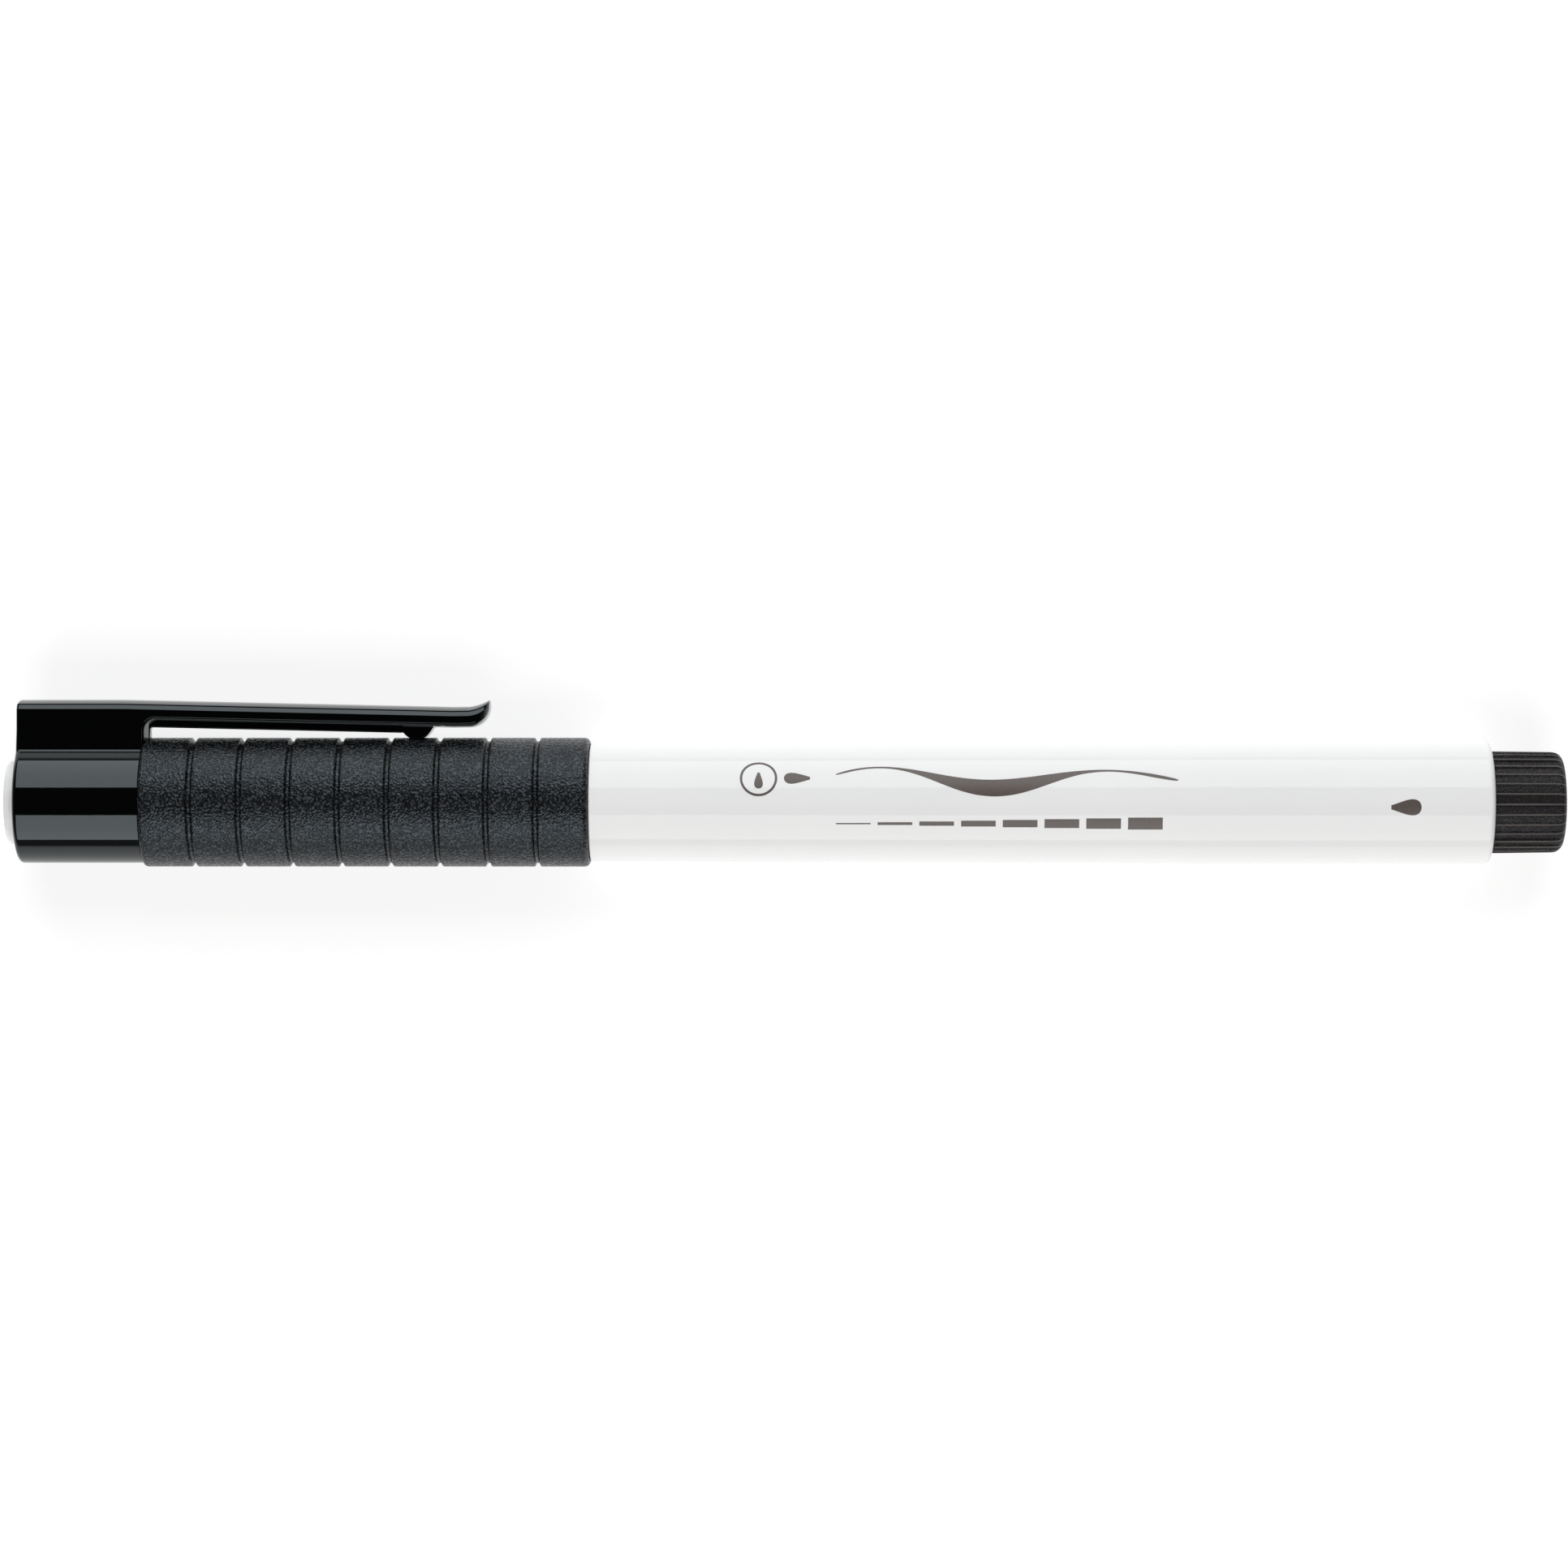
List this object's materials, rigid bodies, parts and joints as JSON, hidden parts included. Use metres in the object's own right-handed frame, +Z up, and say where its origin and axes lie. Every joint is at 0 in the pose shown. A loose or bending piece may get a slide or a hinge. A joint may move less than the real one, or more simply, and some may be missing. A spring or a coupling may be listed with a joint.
{
  "type": "brush pen",
  "caption": "Capped brush pen with a tapered barrel, a ribbed push-on cap with a pocket clip, a fibre brush nib and a fluted rear plug.",
  "frame": {"origin": "on the pen's axis, in the middle of the barrel's parallel rear land, where a pen holder grips it", "axes": "+X along the pen towards the rear plug, so the cap comes off along -X; +Y towards the clip; +Z up, with the pen lying on its side"},
  "size_m": [0.145, 0.0156, 0.012],
  "materials": {
    "white_barrel": "glossy moulded white plastic",
    "black_section": "satin moulded black plastic",
    "nib_fibre": "bonded nylon fibre, off-white",
    "reservoir_fibre": "soft polyester fibre",
    "clear_film": "thin smooth film",
    "black_plug": "satin fluted black plastic",
    "textured_sleeve": "matt, spark-eroded black plastic",
    "gloss_crown": "polished black plastic",
    "seal_cup": "natural soft plastic",
    "white_disc": "smooth white plastic"
  },
  "bodies": {
    "barrel": {"barrel_shell": "white_barrel", "front_section": "black_section", "brush_nib": "nib_fibre", "ink_reservoir": "reservoir_fibre", "reservoir_film": "clear_film", "end_plug": "black_plug"},
    "cap": {"cap_sleeve": "textured_sleeve", "cap_crown": "gloss_crown", "inner_cap": "seal_cup", "colour_plug": "white_disc"},
    "clip": {"clip_arm": "gloss_crown"}
  },
  "joints": [
    {"name": "cap_pull", "type": "slide", "parent": "barrel", "child": "cap", "axis": [-1, 0, 0], "range_m": [0, 0.06]},
    {"name": "clip_flex", "type": "hinge", "parent": "cap", "child": "clip", "pos_m": [-0.11213, 0.00951, 0], "axis": [0, 0, 1], "range_deg": [0, 4], "stiffness_Nm_per_rad": 1, "springref_deg": -0.57}
  ]
}
